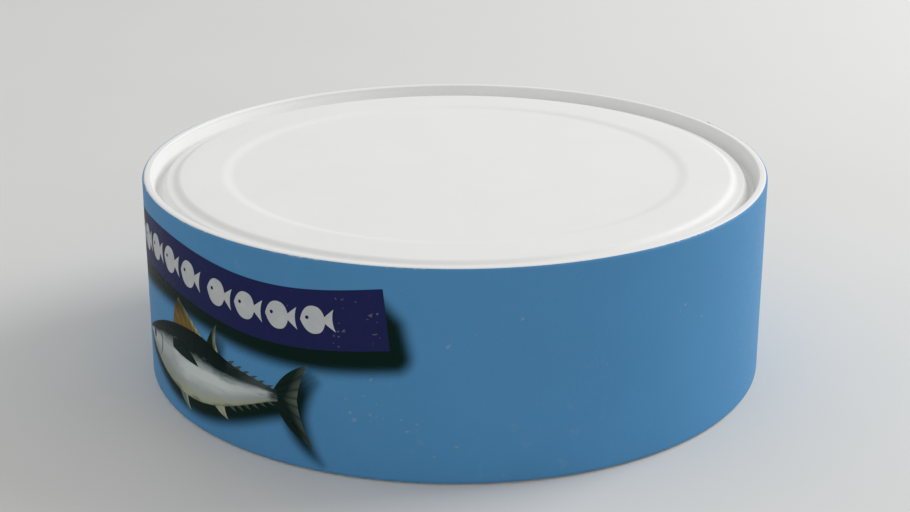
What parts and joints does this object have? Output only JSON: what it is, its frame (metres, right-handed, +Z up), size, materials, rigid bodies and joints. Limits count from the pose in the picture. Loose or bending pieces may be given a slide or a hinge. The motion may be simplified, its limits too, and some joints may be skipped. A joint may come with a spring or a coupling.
{
  "type": "tuna can",
  "caption": "Shut round tin of tuna: a low drawn can, a white seamed lid with a broad pressed ring, and a full-height blue wrap printed with a fish under a wavy navy band.",
  "frame": {"origin": "middle of the plane that the can stands on, on the can's axis", "axes": "+Z up along the can's axis, from the base to the lid; the printed picture on the wrap faces -Y, and the glued overlap of the paper is at +Y"},
  "size_m": [0.087, 0.0871, 0.0286],
  "materials": {
    "body_enamel": "white enamel on drawn steel, satin, a little worn at the foot",
    "lid_enamel": "white enamel on pressed steel, satin",
    "label_paper": "blue printed paper with a satin varnish, faintly scuffed"
  },
  "bodies": {
    "root": {"body": "body_enamel", "lid": "lid_enamel", "label": "label_paper"}
  },
  "joints": []
}
